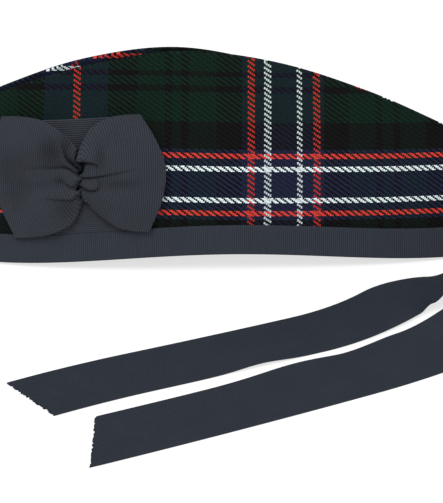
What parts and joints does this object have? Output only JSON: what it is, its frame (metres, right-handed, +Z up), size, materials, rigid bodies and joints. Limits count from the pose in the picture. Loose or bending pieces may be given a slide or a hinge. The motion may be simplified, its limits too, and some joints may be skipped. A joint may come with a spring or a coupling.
{
  "type": "tartan side cap",
  "caption": "Boat-shaped tartan side cap with a folded crown, a ribbon rim band, a ribbon bow on the side and two ribbon tails lying on the surface.",
  "frame": {"origin": "middle of the head opening, on the surface that the rim stands on", "axes": "+X towards the back of the cap, +Y towards the wearer's right, +Z up"},
  "size_m": [0.3246, 0.2333, 0.0851],
  "materials": {
    "tartan_cloth": "twill tartan wool, matt",
    "ribbon": "ribbed grosgrain ribbon, matt",
    "tail_ribbon": "ribbed grosgrain ribbon, matt"
  },
  "bodies": {
    "root": {"side_panel_left": "tartan_cloth", "side_panel_right": "tartan_cloth", "crown_gusset": "tartan_cloth", "rim_band": "ribbon", "bow_backing": "ribbon", "bow_loop_front": "ribbon", "bow_loop_rear": "ribbon", "tail_near": "tail_ribbon", "tail_far": "tail_ribbon"}
  },
  "joints": []
}
